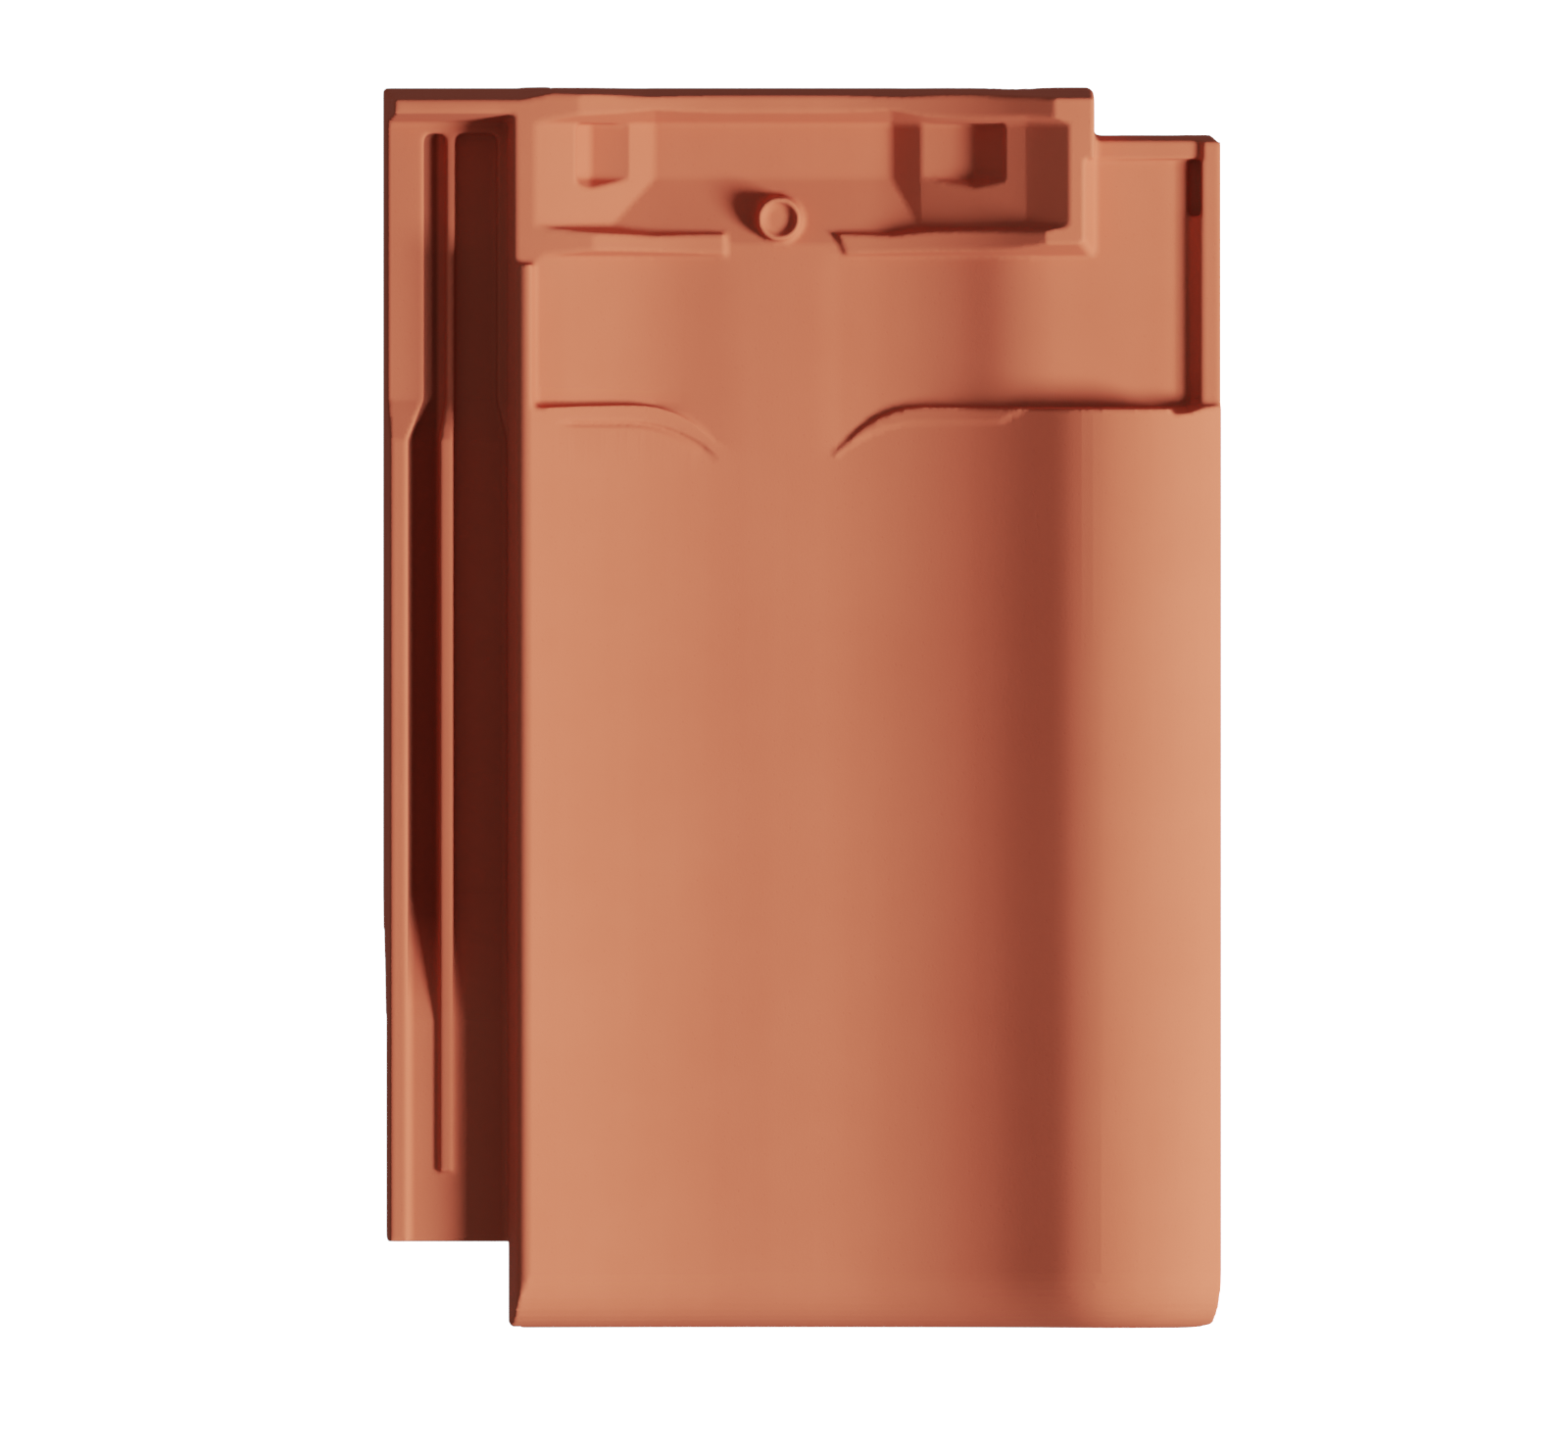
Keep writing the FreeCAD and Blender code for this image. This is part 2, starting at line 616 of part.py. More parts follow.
right_lap_plan = [
    (f"{WIDTH} - edge_rim - edge_rim_slope", STEP_Y),
    (f"{WIDTH} - edge_rim - edge_rim_slope", f"{RIB_HIGH_Y} + 20"),
    (f"{MIDDLE} + 8", f"{RIB_HIGH_Y} + 20"),
    (f"{MIDDLE} + 8", f"{STEP_Y} - swoosh_drop"),
    (f"{MIDDLE} + swoosh_gap", f"{STEP_Y} - swoosh_drop"),
    (f"{MIDDLE} + {turn_x}", turn_y),
    (f"{MIDDLE} + swoosh_reach", STEP_Y, "swoosh_radius", -1),
]


def lap(name, section, plan, draft):
    """The clay above a sunk surface, inside a drafted field and up to the drafted lower rib."""
    start = f"({STEP_Y} - 40)"
    above = fuse(name + "_above", [
        run(name + "_middle", "section", section, start, f"{RIB_LOW_Y} - {start}"),
        slanted_end(name + "_end", section, RIB_LOW_Y, 1, "rim_draft"),
    ])
    field = run(name + "_field", "plan", plan, f"{PAN} - 3", f"{CLEAR_TOP} - {PAN}")
    field.setExpression("TaperAngle", bound(draft))
    return common(name, above, field)


left_lap = lap("left_lap", left_lap_section, left_lap_plan, "step_draft")
right_lap = lap("right_lap", right_lap_section, right_lap_plan, "right_step_draft")

# Head of the roll: sunk between the arm of the head rim, the outer edge and the top edge.
plateau = lap_right("0")
plateau_edge_x = f"({WIDTH} - edge_rim - edge_rim_slope)"
plateau_edge = f"({plateau[2][1]} - ({plateau_edge_x} - {plateau[2][0]}) * tan(plateau_fall))"
plateau_arm = f"({plateau[2][1]} - ({ARM_X} - {plateau[2][0]}) * tan(plateau_fall))"
roll_head_section = [
    (ARM_X, plateau_arm),
    (f"{WIDTH} - edge_rim - edge_rim_slope", plateau_edge),
    (f"{WIDTH} - edge_rim", f"{PAN} + edge_rim_level"),
    (f"{WIDTH} - edge_rim", CLEAR_TOP),
    (f"{ARM_X} - arm_draft", CLEAR_TOP),
    (f"{ARM_X} - arm_draft", f"{PAN} + arm_flat"),
]
roll_head_pocket = run("roll_head_pocket", "section", roll_head_section, RIB_LOW_Y,
                       "rib_low - roll_head - roll_rim")
edge_slope_section = [
    (f"{WIDTH} - edge_rim - edge_rim_slope - 6", plateau_edge),
    (f"{WIDTH} - edge_rim - edge_rim_slope", plateau_edge),
    (f"{WIDTH} - edge_rim", f"{PAN} + edge_rim_level"),
    (f"{WIDTH} + 10", f"{PAN} + edge_rim_level"),
    (f"{WIDTH} + 10", CLEAR_TOP),
    (f"{WIDTH} - edge_rim - edge_rim_slope - 6", CLEAR_TOP),
]
edge_rim_y = f"({STEP_Y} + edge_rim_start)"
edge_slope = fuse("edge_slope", [
    run("edge_slope_middle", "section", edge_slope_section, edge_rim_y,
        "headlap_step - roll_head - roll_rim - edge_rim_start"),
    slanted_end("edge_slope_end", edge_slope_section, edge_rim_y, -1, "step_draft"),
])
edge_level = block("edge_level", f"{WIDTH} - edge_rim", edge_rim_y, f"{PAN} + edge_rim_level",
                   "edge_rim + 20", "headlap_step + 5", "60")
slot = block("slot", f"{WIDTH} - edge_rim - edge_rim_slope", f"{ROLL_HEAD_Y} - roll_rim - slot_length",
             f"{plateau_edge} - slot_depth", "edge_rim_slope", "slot_length", "slot_depth + 5")
roll_rim_level = block("roll_rim_level", ARM_X, f"{ROLL_HEAD_Y} - roll_rim - 0.5",
                       f"{plateau_arm} + roll_rim_rise", "arm_edge - edge_rim", "roll_rim + 5", "60")

# Recess between the head rims. Its floor is a sunk plate, and a ramp leads from the plate up to the
# trough, through a gap in the lower rib.
wall_top = f"({ARM_X} - arm_draft - arm_width)"
step_x = f"({PLATE_RIGHT_X} + recess_step_run)"
step_z = f"({PLATE_Z} + recess_step_run * tan(recess_step_angle))"
wall_x = f"({wall_top} - recess_wall_run)"
recess_section = [
    ("pan_edge", f"{PLATE_Z} + ({PLATE_LEFT_X} - pan_edge) * tan(recess_left_angle)"),
    (PLATE_LEFT_X, PLATE_Z),
    (PLATE_RIGHT_X, PLATE_Z),
    (step_x, step_z),
    (wall_x, f"{step_z} + ({wall_x} - {step_x}) * tan(recess_flank_angle)"),
    (wall_top, f"{PAN} + arm_flat"),
    (wall_top, CLEAR_TOP),
    ("pan_edge", CLEAR_TOP),
]
ramp_end_y = f"({PLATE_LOW_Y} - recess_sink / tan(plate_ramp_angle))"
ramp_side = [
    (f"{ramp_end_y} - 20", PAN),
    (ramp_end_y, PAN),
    (PLATE_LOW_Y, PLATE_Z),
    ("tile_length + 30", PLATE_Z),
    ("tile_length + 30", f"{CLEAR_TOP} + 20"),
    (f"{ramp_end_y} - 20", f"{CLEAR_TOP} + 20"),
]
above_ramp = run("above_ramp", "side", ramp_side, "0", WIDTH)
recess_field = fuse("recess_field", [
    run("recess_middle", "section", recess_section, RIB_HIGH_Y, "rib_high - head_rim"),
    slanted_end("recess_low_end", recess_section, RIB_HIGH_Y, -1, "rib_draft"),
    slanted_end("recess_head_end", recess_section, HEAD_RIM_Y, 1, "head_rim_draft"),
])
recess = common("recess", recess_field, above_ramp)
rib_gap_plan = [
    (f"{MIDDLE} - rib_gap", f"{RIB_LOW_Y} - 4"),
    (f"{MIDDLE} + rib_gap + rib_end_slant", f"{RIB_LOW_Y} - 4"),
    (f"{MIDDLE} + rib_gap + rib_end_slant", RIB_LOW_Y),
    (f"{MIDDLE} + rib_gap", f"{RIB_HIGH_Y} + 1"),
    (f"{MIDDLE} - rib_gap", f"{RIB_HIGH_Y} + 1"),
]
rib_opening = common("rib_opening", run("rib_opening_field", "plan", rib_gap_plan, PLATE_Z, "60"), above_ramp)

# Pockets sunk into the head above the nibs.
pocket_low = "(tile_length - nib_face + pocket_setback)"
pocket_length = "nib_face - pocket_setback - head_rim"


def pocket(name, section):
    """A section run from the head rim down to a drafted lower wall."""
    return fuse(name, [
        run(name + "_middle", "section", section, pocket_low, pocket_length),
        slanted_end(name + "_end", section, pocket_low, -1, "pocket_draft"),
    ])


left_nib_x = f"({MIDDLE} - left_nib_offset)"
left_pocket_right = f"({left_nib_x} + left_nib_width - left_pocket_end)"
left_pocket = pocket("left_pocket", [
    (f"{left_nib_x} + left_pocket_side", f"{PLATE_Z} + left_pocket_low"),
    (left_pocket_right, f"{PLATE_Z} + left_pocket_high"),
    (left_pocket_right, CLEAR_TOP),
    (left_nib_x, CLEAR_TOP),
    (left_nib_x, f"{PLATE_Z} + left_pocket_low + left_pocket_wall"),
])
right_pocket_wall = f"({step_x} - 1 + right_pocket_floor)"
right_pocket = pocket("right_pocket", [
    (f"{step_x} - 1", step_z),
    (right_pocket_wall, f"{step_z} + right_pocket_tilt"),
    (f"{right_pocket_wall} + right_pocket_run", f"{step_z} + right_pocket_tilt + right_pocket_rise"),
    (f"{right_pocket_wall} + right_pocket_run", CLEAR_TOP),
    (f"{step_x} - 1", CLEAR_TOP),
])

# Channels of the side lock, with the rib standing between them from the head downwards.
# Their outline is drawn at the level of the rims, and the sides draw in towards the floor.
first_right = "(rim_width + first_channel_width)"
second_left = "(rim_width + first_channel_width + lock_rib_width)"
second_right = "(rim_width + first_channel_width + lock_rib_width + second_channel_width)"
low_y = "(tile_length - lock_step)"
high_y = "(tile_length - lock_step + lock_step_length)"
end_y = "(tile_length - channel_end)"
head_left = "(rim_width + head_rim_growth)"
head_rib_left = f"({first_right} + head_rib_shift)"
head_rib_right = f"({second_left} + head_rib_shift - head_rib_loss)"
head_right = f"({second_right} - head_ledge)"
channel_plan = [
    ("rim_width", "lock_start - 5"),
    (second_right, "lock_start - 5"),
    (second_right, low_y),
    (head_right, high_y),
    (head_right, f"{end_y} - channel_corner"),
    (f"{head_right} - channel_corner", end_y, "channel_corner", 1),
    (f"{head_rib_right} + channel_corner", end_y),
    (head_rib_right, f"{end_y} - channel_corner", "channel_corner", 1),
    (head_rib_right, high_y),
    (second_left, low_y),
    (second_left, "lock_rib_start"),
    (first_right, "lock_rib_start"),
    (first_right, low_y),
    (head_rib_left, high_y),
    (head_rib_left, f"{end_y} - channel_corner"),
    (f"{head_rib_left} - channel_corner", end_y, "channel_corner", 1),
    (f"{head_left} + channel_corner", end_y),
    (head_left, f"{end_y} - channel_corner", "channel_corner", 1),
    (head_left, high_y),
    ("rim_width", low_y),
]
channel_field = run("channel_field", "plan", channel_plan, PAN, "channel_depth + head_channel_drop + 1")
channel_field.Dir = Vector(0, 0, -1)
channel_field.setExpression("TaperAngle", bound("-channel_draft"))
channel_field.LengthRev = 1
channel_side = [
    ("lock_start - 5", f"{PAN} - low_channel_depth"),
    ("ramp_start", f"{PAN} - low_channel_depth"),
    ("ramp_start + ramp_length", LOCK_FLOOR),
    (low_y, LOCK_FLOOR),
    (high_y, f"{LOCK_FLOOR} - head_channel_drop"),
    ("tile_length", f"{LOCK_FLOOR} - head_channel_drop"),
    ("tile_length", f"{PAN} + 5"),
    ("lock_start - 5", f"{PAN} + 5"),
]
channels = common("channels", channel_field, run("channel_depths", "side", channel_side, "0", "pan_edge"))

# The hanging lip is shorter where the lock of the next tile is shallow.
lip_side = [
    ("-5", "-5"),
    ("ramp_start + ramp_length", "-5"),
    ("ramp_start + ramp_length", LIP_LEVEL),
    ("ramp_start", f"{PAN} - low_channel_depth + lip_gap"),
    ("-5", f"{PAN} - low_channel_depth + lip_gap"),
]
lip_relief = run("lip_relief", "side", lip_side, f"{LIP_INNER} - 1", "lip_width + lip_lean + 10")


def corner_round(name, x, y, side_x, side_y, radius, bottom="-5"):
    """Clay outside a rounded upright corner that points to side_x and side_y."""
    path = [
        (f"{x} - {side_x} * {radius}", y),
        (x, f"{y} - {side_y} * {radius}", radius, -side_x * side_y),
        (f"{x} + {side_x} * 5", f"{y} - {side_y} * {radius}"),
        (f"{x} + {side_x} * 5", f"{y} + {side_y} * 5"),
        (f"{x} - {side_x} * {radius}", f"{y} + {side_y} * 5"),
    ]
    return run(name, "plan", path, bottom, f"{CLEAR_TOP} + 5")


corner_rounds = [
    corner_round("foot_left_round", WALL_FOOT_X, "0", -1, -1, "foot_left_corner"),
    corner_round("foot_right_round", WIDTH, "0", 1, -1, "foot_right_corner"),
    corner_round("lock_foot_round", "0", "lock_start", -1, -1, "lock_corner"),
    corner_round("lock_head_round", "0", "tile_length", -1, 1, "lock_corner"),
    corner_round("head_round", ARM_X, "tile_length", 1, 1, "head_corner"),
    corner_round("roll_round", WIDTH, ROLL_HEAD_Y, 1, 1, "roll_corner"),
]

# The lower corner of the rim's arm leans back with the two drafted faces that meet there.
arm_round = corner_round("arm_round", ARM_X, RIB_LOW_Y, 1, -1, "arm_corner", f"{plateau_arm} + 0.4")
arm_round.setExpression("Dir.x", bound(f"-arm_draft / ({PAN} + arm_flat - {plateau_arm})"))
arm_round.setExpression("Dir.y", bound("tan(rim_draft)"))
corner_rounds.append(arm_round)

tools = [corner, left_level, rim_notch, arm_level, edge_round, lock_face, left_lap, right_lap,
         roll_head_pocket, edge_slope, edge_level, roll_rim_level, slot, recess, rib_opening,
         left_pocket, right_pocket, channels, lip_relief]
carved = cut("carved", blank, tools + head_faces + corner_rounds)

# Nail boss with a blind ring.
boss_y = "tile_length - boss_from_head"


def cone(name, low_radius, high_radius, low, height):
    shape = document.addObject("Part::Cone", name)
    shape.setExpression("Radius1", bound(low_radius))
    shape.setExpression("Radius2", bound(high_radius))
    shape.setExpression("Height", bound(height))
    shape.setExpression("Placement.Base.x", bound(f"-({WIDTH}) / 2 + {MIDDLE}"))
    shape.setExpression("Placement.Base.y", bound(f"-tile_length / 2 + {boss_y}"))
    shape.setExpression("Placement.Base.z", bound(low))
    return shape


boss = cone("boss", "boss_radius + boss_skirt", "boss_radius",
            f"{PLATE_Z} - 1", "recess_sink + boss_rise + 1")
ring = cone("ring", "ring_radius - ring_draft", "ring_radius",
            f"{PAN} + boss_rise - ring_depth", "ring_depth")
joined = fuse("joined", [carved, boss])
pantile = cut("pantile", joined, [ring])
pantile.Label = "pantile"
document.recompute()

for item in document.Objects:
    if "Invalid" in item.State or "Error" in item.State:
        raise RuntimeError("%s failed to build: %s" % (item.Name, item.State))
    if hasattr(item, "Shape") and (item.Shape.isNull() or not item.Shape.isValid()):
        raise RuntimeError("%s has no valid shape" % item.Name)
if len(pantile.Shape.Solids) != 1:
    raise RuntimeError("the tile must be one solid, not %d" % len(pantile.Shape.Solids))
pantile.Shape.exportStep("parts/pantile.step")
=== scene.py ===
import bmesh
import bpy
import numpy as np
from mathutils.bvhtree import BVHTree
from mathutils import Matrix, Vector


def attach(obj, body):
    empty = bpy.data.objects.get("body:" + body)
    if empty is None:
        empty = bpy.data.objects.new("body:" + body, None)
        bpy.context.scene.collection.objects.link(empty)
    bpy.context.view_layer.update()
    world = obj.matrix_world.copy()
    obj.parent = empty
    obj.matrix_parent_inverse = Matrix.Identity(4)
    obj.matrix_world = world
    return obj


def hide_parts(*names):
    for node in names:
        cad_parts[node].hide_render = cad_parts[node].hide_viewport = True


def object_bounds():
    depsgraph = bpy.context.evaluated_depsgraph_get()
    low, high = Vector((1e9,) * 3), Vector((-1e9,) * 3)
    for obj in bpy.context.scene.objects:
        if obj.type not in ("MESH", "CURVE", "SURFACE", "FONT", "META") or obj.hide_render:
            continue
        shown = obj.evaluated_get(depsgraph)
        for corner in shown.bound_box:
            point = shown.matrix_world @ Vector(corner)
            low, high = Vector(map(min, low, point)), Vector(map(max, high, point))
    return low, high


# Looks of one clay roof pantile, seen from straight above on a plain white floor.
# Lengths are in metres. X runs from the side lock to the roll, Y from the foot to the head, Z up.

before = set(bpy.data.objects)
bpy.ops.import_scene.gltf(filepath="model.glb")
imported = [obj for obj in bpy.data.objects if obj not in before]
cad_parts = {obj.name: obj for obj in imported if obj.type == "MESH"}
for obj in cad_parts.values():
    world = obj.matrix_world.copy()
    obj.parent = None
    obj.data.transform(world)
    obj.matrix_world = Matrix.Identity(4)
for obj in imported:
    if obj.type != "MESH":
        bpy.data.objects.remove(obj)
cad_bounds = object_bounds()

# Mesh of the clay: its cells and triangles, and how far at most facets bulge out to their curve and edges
# are eased. Edges are eased in rounds, by a share of the way. Normals are evened out where they bend little.
VOXEL = 0.0008
TRIANGLES = 190000
FACET_BULGE = 0.0003
EDGE_EASE = 0.0003
EASE_ROUNDS = 5
EASE_AMOUNT = 0.5
CALM_ROUNDS = 40
CALM_BEND = 0.0005

# Floors that keep a division from failing.
LEAST_LENGTH = 1e-12
LEAST_DIVISOR = 1e-20

# Wall under the pan's edge beside the headlap: its sides, its levels and its lower end. Its head end
# leans and runs slantwise with the tile's head face, and is given left and right at each level.
WALL_X = (-0.0995, -0.0846)
WALL_Z = (0.0150, 0.0216)
WALL_FOOT = 0.0915
WALL_HEAD = ((0.2073, 0.2100), (0.2062, 0.2092))

# The bead below the left step of the headlap is laid flat inside BEAD_X and BEAD_Y, to the height that
# the pan has farther down, inside PLAIN_Y. Clay counts as level where its normal rises over LEVEL_FACING.
BEAD_X = (-0.0935, -0.020)
BEAD_Y = (0.078, 0.105)
PLAIN_Y = (0.055, 0.065)
LEVEL_FACING = 0.5

# The left step is drawn straight across the tile, and the clay at the foot of its face is pressed deeper.
# By x, how far its line moves towards the head and the clay down. Then how far from the line the press
# reaches, the depth at which it is full, and how near the line the clay moves along with it.
STEP_Y = 0.1025
STEP_LINE = ((-0.0960, 0), (-0.0930, 0.0014), (-0.0896, 0.0014), (-0.0531, 0), (-0.0350, 0))
STEP_PRESS = ((-0.0930, 0), (-0.0880, 0.0014), (-0.0500, 0.0014), (-0.0380, 0))
STEP_PRESS_RUN = 0.005
STEP_SINK = 0.0020
STEP_NEAR = (0.004, 0.010)

# Fine crease below the left step: in plan a straight stretch and then an arc, in section a notch whose
# side towards the foot grows flatter along the arc. It fades in at its start and out over the arc's end.
CREASE_START = -0.0834
CREASE_TURN = (-0.0591, 0.0960)
CREASE_RADIUS = 0.044
CREASE_ANGLE = 0.78
CREASE_DEPTH = 0.0012
CREASE_HEAD_SIDE = 0.0012
CREASE_FOOT_SIDE = (0.0014, 0.0034)
CREASE_FADE = 0.006
CREASE_LAST_PART = 0.2

# Clay: its two colours and where in the mottling each is reached, its gloss and roughness, then the
# bands that make pores and, by pointiness, edges rubbed paler and hollows darkened as painted shade, how
# these tint the clay, and how deep pores are beside grain.
CLAY_DARK = (0.452, 0.0925, 0.0487, 1)
CLAY_LIGHT = (0.490, 0.1035, 0.0556, 1)
MOTTLE_BAND = (0.32, 0.68)
GLOSS = 0.1
ROUGHNESS = (0.8, 0.96)
PORE_BAND = (0.06, 0.16)
PORE_SHADE = (0.96, 1.0)
POINTINESS_BAND = (0.44, 0.56)
RUB_AND_HOLLOW_SHADE = (0.95, 1.05)
PORE_RELIEF = 0.6

# Outer channel of the side lock, darkened by painted shade: where its rim steps down and the rim's levels,
# then the bands over which the painted shade fades in or out below the rim, at the sides, the ends and the
# floor, and how dark it makes the clay.
LOCK_STEP = (0.0905, 0.104)
RIM_LEVELS = (0.022, 0.0155)
PAINTED_SHADE_DEPTH = (0.0003, 0.0025)
PAINTED_SHADE_LEFT = (-0.1345, -0.1335)
PAINTED_SHADE_RIGHT = (-0.1240, -0.1225)
PAINTED_SHADE_FOOT = (-0.100, -0.070)
PAINTED_SHADE_HEAD = (0.1985, 0.1995)
PAINTED_SHADE_FLOOR = (0.0080, 0.0095)
PAINTED_SHADE_DARKNESS = 0.45

# Studio: the floor, the softbox, and the room's light below and above the horizon.
FLOOR_SIZE = 6
FLOOR_DROP = 0.0002
FLOOR_GLOW = 4.0
LAMP_PLACE = (2.2, -0.51, 1.6)
LAMP_SIZE = 0.95
LAMP_POWER = 253
HORIZON = (-0.1, 0.1)
ROOM_LIGHT = (0.35, 0.2)

# Camera: its sensor in millimetres, its place and reach, and the width that it sees at SEEN_LEVEL.
SENSOR = 36
CAMERA_PLACE = (-0.006, -0.007, 20.0)
CAMERA_REACH = 50
SEEN_LEVEL = 0.01
SEEN_WIDTH = 0.5308

# Camera response: straight in the shadows, with a shoulder that holds the lit clay back.
SHOULDER = ((0.1, 0.1), (0.2, 0.2), (0.3, 0.285), (0.5, 0.41), (0.69, 0.478), (0.9, 0.542),
            (1.0, 0.568), (1.3, 0.63), (1.5, 0.66), (2.2, 0.78))
WHITE = 3.5


def numbers(items, field, width, kind=float):
    """A field of all items of a mesh, as an array with one row for each item."""
    values = np.empty(len(items) * width, dtype=kind)
    items.foreach_get(field, values)
    return values.reshape(-1, width)


def dots(first, second):
    """Dot product of each row with the same row of the other array."""
    return np.einsum("ij,ij->i", first, second)


def held(vectors, limit):
    """The vectors, with the longer ones cut to the limit."""
    length = np.linalg.norm(vectors, axis=1, keepdims=True)
    return vectors * np.minimum(1, limit / np.maximum(length, LEAST_LENGTH))


def corner_weights(spots, a, b, c):
    """Weights of the corners a, b and c of a facet at each spot on it."""
    ab, ac, spot = b - a, c - a, spots - a
    ab_ab, ab_ac, ac_ac = dots(ab, ab), dots(ab, ac), dots(ac, ac)
    spot_ab, spot_ac = dots(spot, ab), dots(spot, ac)
    divisor = np.maximum(ab_ab * ac_ac - ab_ac * ab_ac, LEAST_DIVISOR)
    at_b = np.clip((ac_ac * spot_ab - ab_ac * spot_ac) / divisor, 0, 1)
    at_c = np.clip((ab_ab * spot_ac - ab_ac * spot_ab) / divisor, 0, 1)
    at_a = np.clip(1 - at_b - at_c, 0, 1)
    return at_a, at_b, at_c


def curved_shift(points, source):
    """How far each point moves to lie on the curve that the source's facets and normals stand for."""
    source.calc_loop_triangles()
    corners = numbers(source.loop_triangles, "vertices", 3, np.int64)
    loops = numbers(source.loop_triangles, "loops", 3, np.int64)
    normals = numbers(source.corner_normals, "vector", 3)
    places = numbers(source.vertices, "co", 3)
    tree = BVHTree.FromPolygons(places.tolist(), corners.tolist(), all_triangles=True)
    nearest = [tree.find_nearest(point) for point in points]
    faces = np.array([found[2] for found in nearest])
    spots = np.array([found[0] for found in nearest])
    ends = [places[corners[faces, k]] for k in range(3)]
    shift = np.zeros_like(points)
    for k, weight in enumerate(corner_weights(spots, *ends)):
        normal = normals[loops[faces, k]]
        shift -= (weight * dots(spots - ends[k], normal))[:, None] * normal
    return held(shift, FACET_BULGE)


def gathered(total, edges, to_first, to_second):
    """The total with what comes along each edge added at its first and its second vertex."""
    for axis in range(3):
        total[:, axis] += np.bincount(edges[:, 0], to_first[:, axis], len(total))
        total[:, axis] += np.bincount(edges[:, 1], to_second[:, axis], len(total))
    return total


def smoothed(places, edges, rounds, amount):
    """Places after a number of rounds of moving each one towards the mean of its neighbours."""
    degree = np.bincount(edges.ravel(), minlength=len(places)).astype(float)[:, None]
    for _ in range(rounds):
        total = gathered(np.zeros_like(places), edges, places[edges[:, 1]], places[edges[:, 0]])
        places = places + amount * (total / degree - places)
    return places


def calmed(normals, edges, rounds):
    """Normals evened out along gently curved stretches, with the edges left as they are."""
    for _ in range(rounds):
        first, second = normals[edges[:, 0]], normals[edges[:, 1]]
        weight = np.exp((dots(first, second) - 1) / CALM_BEND)[:, None]
        total = gathered(normals.copy(), edges, weight * second, weight * first)
        normals = total / np.linalg.norm(total, axis=1, keepdims=True)
    return normals


def crease_depth(x, y):
    """How deep the crease is at each place of the plan."""
    turn_x, turn_y = CREASE_TURN
    out_x, out_y = x - turn_x, y - turn_y + CREASE_RADIUS
    angle = np.clip(np.arctan2(out_x, out_y), 0, None) / CREASE_ANGLE
    above = np.where(out_x < 0, y - turn_y, np.hypot(out_x, out_y) - CREASE_RADIUS)
    foot_side = np.interp(angle, (0, 1), CREASE_FOOT_SIDE)
    notch = np.clip(np.where(above > 0, 1 - above / CREASE_HEAD_SIDE, 1 + above / foot_side), 0, 1)
    start = np.clip((x - CREASE_START) / CREASE_FADE, 0, 1)
    end = np.clip((1 - angle) / CREASE_LAST_PART, 0, 1)
    fade = start * end
    return CREASE_DEPTH * notch * fade


def creased(places, facing):
    """Places with the left step drawn straight, its bead laid flat and a crease along the bead's edge."""
    x, y, z = places.T
    upward = facing[:, 2] > 0
    level = facing[:, 2] > LEVEL_FACING
    plain = level & (y > PLAIN_Y[0]) & (y < PLAIN_Y[1])
    order = np.argsort(x[plain], kind="stable")
    rise = z - np.interp(x, x[plain][order], z[plain][order])
    bead = upward & (x > BEAD_X[0]) & (x < BEAD_X[1]) & (y > BEAD_Y[0]) & (y < BEAD_Y[1])
    z = np.where(bead & (rise > 0), z - rise, z)

    from_step = np.abs(y - STEP_Y)
    line = np.interp(from_step, STEP_NEAR, (1, 0)) * np.interp(x, *zip(*STEP_LINE))
    foot = np.clip(-rise / STEP_SINK, 0, 1) * np.clip(1 - from_step / STEP_PRESS_RUN, 0, 1)
    y = y + np.where(upward, line, 0)
    z = z - np.where(upward, foot * np.interp(x, *zip(*STEP_PRESS)), 0)
    z = z - np.where(level, crease_depth(x, y), 0)
    return np.column_stack((x, y, z))


def set_places(mesh, places):
    """Moves the mesh's vertices and gives their new normals."""
    mesh.vertices.foreach_set("co", places.ravel())
    mesh.update()
    return numbers(mesh.vertex_normals, "vector", 3)


def close_wall(mesh):
    """Carries the pan's edge down to the side lock beside the headlap, where the solid has a slot."""
    work = bmesh.new()
    work.from_mesh(mesh)
    corners = []
    for z, ends in zip(WALL_Z, WALL_HEAD):
        for x, head in zip(WALL_X, ends):
            corners += [work.verts.new((x, WALL_FOOT, z)), work.verts.new((x, head, z))]
    bmesh.ops.convex_hull(work, input=corners)
    work.to_mesh(mesh)
    work.free()


def linked(name, data):
    """A new object in the scene."""
    made = bpy.data.objects.new(name, data)
    bpy.context.scene.collection.objects.link(made)
    return made


def applied(piece):
    """A new mesh, the piece's own with its modifiers applied."""
    graph = bpy.context.evaluated_depsgraph_get()
    return bpy.data.meshes.new_from_object(piece.evaluated_get(graph))


def dense_clay(piece, source):
    """The piece as an even, dense mesh, curved and eased as wet clay is, with the fine relief."""
    remesh = piece.modifiers.new("remesh", "REMESH")
    remesh.mode = "VOXEL"
    remesh.voxel_size = VOXEL
    dense = applied(piece)
    piece.modifiers.clear()
    edges = numbers(dense.edges, "vertices", 2, np.int64)
    places = numbers(dense.vertices, "co", 3)
    places = places + curved_shift(places, source)
    places = places + held(smoothed(places, edges, EASE_ROUNDS, EASE_AMOUNT) - places, EDGE_EASE)
    low, high = (np.array(limit) for limit in cad_bounds)
    places = np.clip(places, low, high)
    facing = set_places(dense, places)
    facing = set_places(dense, creased(places, facing))
    dense.shade_smooth()
    dense.normals_split_custom_set_from_vertices(calmed(facing, edges, CALM_ROUNDS).tolist())
    return dense


